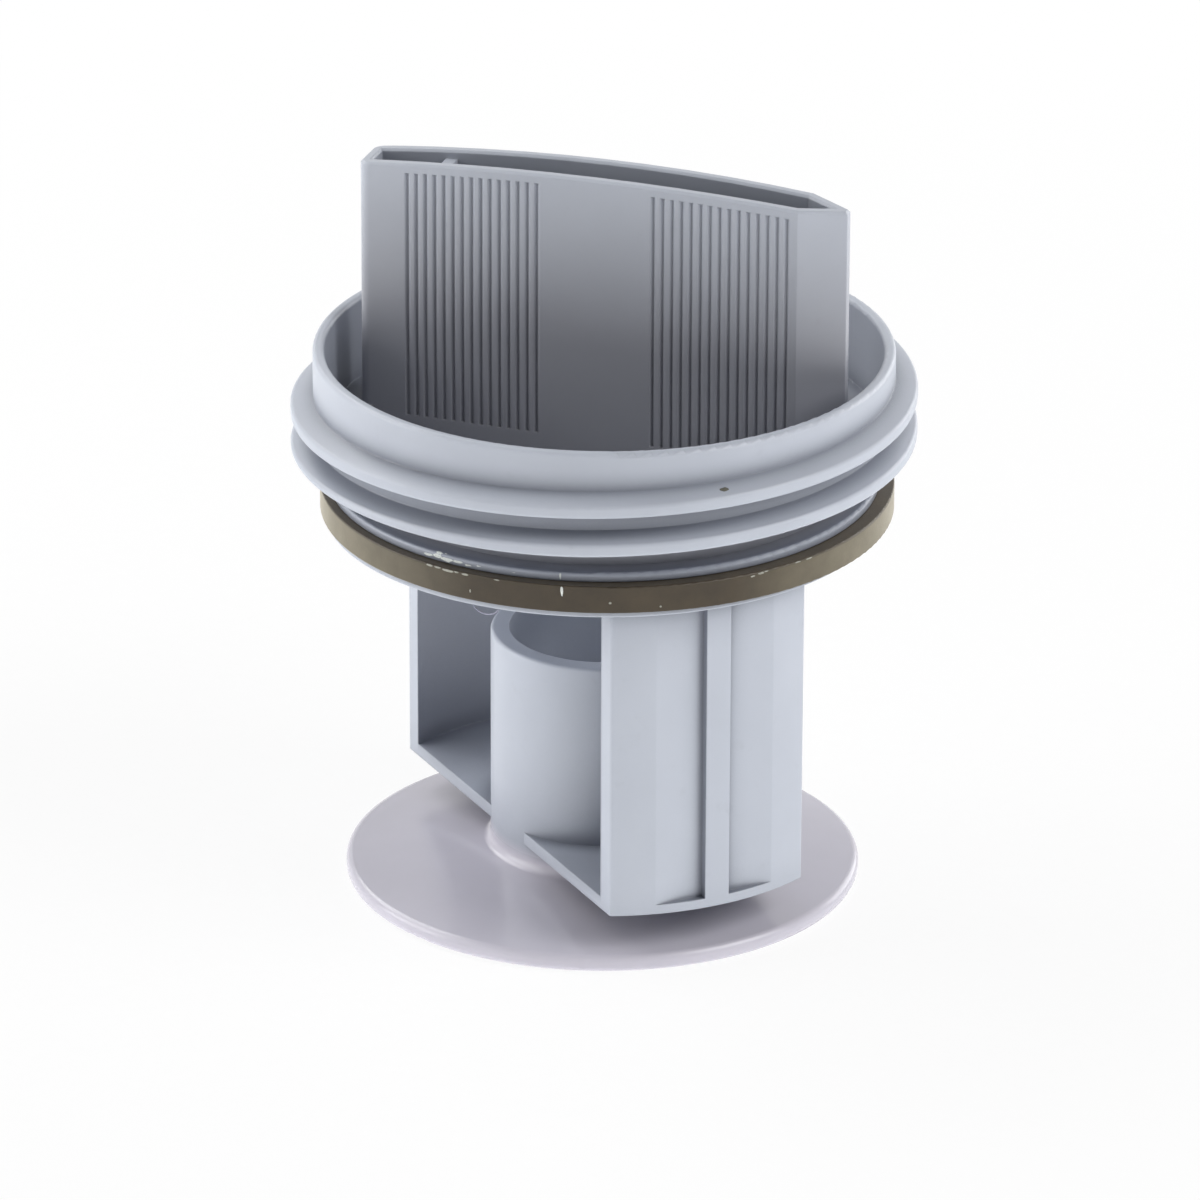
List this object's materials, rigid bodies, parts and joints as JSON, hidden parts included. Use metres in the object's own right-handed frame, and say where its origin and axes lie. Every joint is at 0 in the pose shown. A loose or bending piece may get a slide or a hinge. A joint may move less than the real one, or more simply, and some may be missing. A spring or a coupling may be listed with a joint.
{
  "type": "washer pump filter",
  "caption": "Screw-in drain pump filter: hollow ribbed grip in a threaded cup, flat seal, two-panel lint cage, central flow tube and a shallow cone disc.",
  "frame": {"origin": "on the screw axis, in the plane of the disc's flat edge that the filter rests on", "axes": "+Z along the screw axis from the disc to the grip; +X to the right and +Y away from the viewer in the pictured pose, with the grip turned 18.4 degrees clockwise from +X"},
  "size_m": [0.064, 0.064, 0.077],
  "materials": {
    "filter_body": "satin moulded polypropylene, light blue-grey",
    "seal_ring": "matt elastomer, olive brown"
  },
  "bodies": {
    "root": {"filter_body": "filter_body", "seal_ring": "seal_ring"}
  },
  "joints": []
}
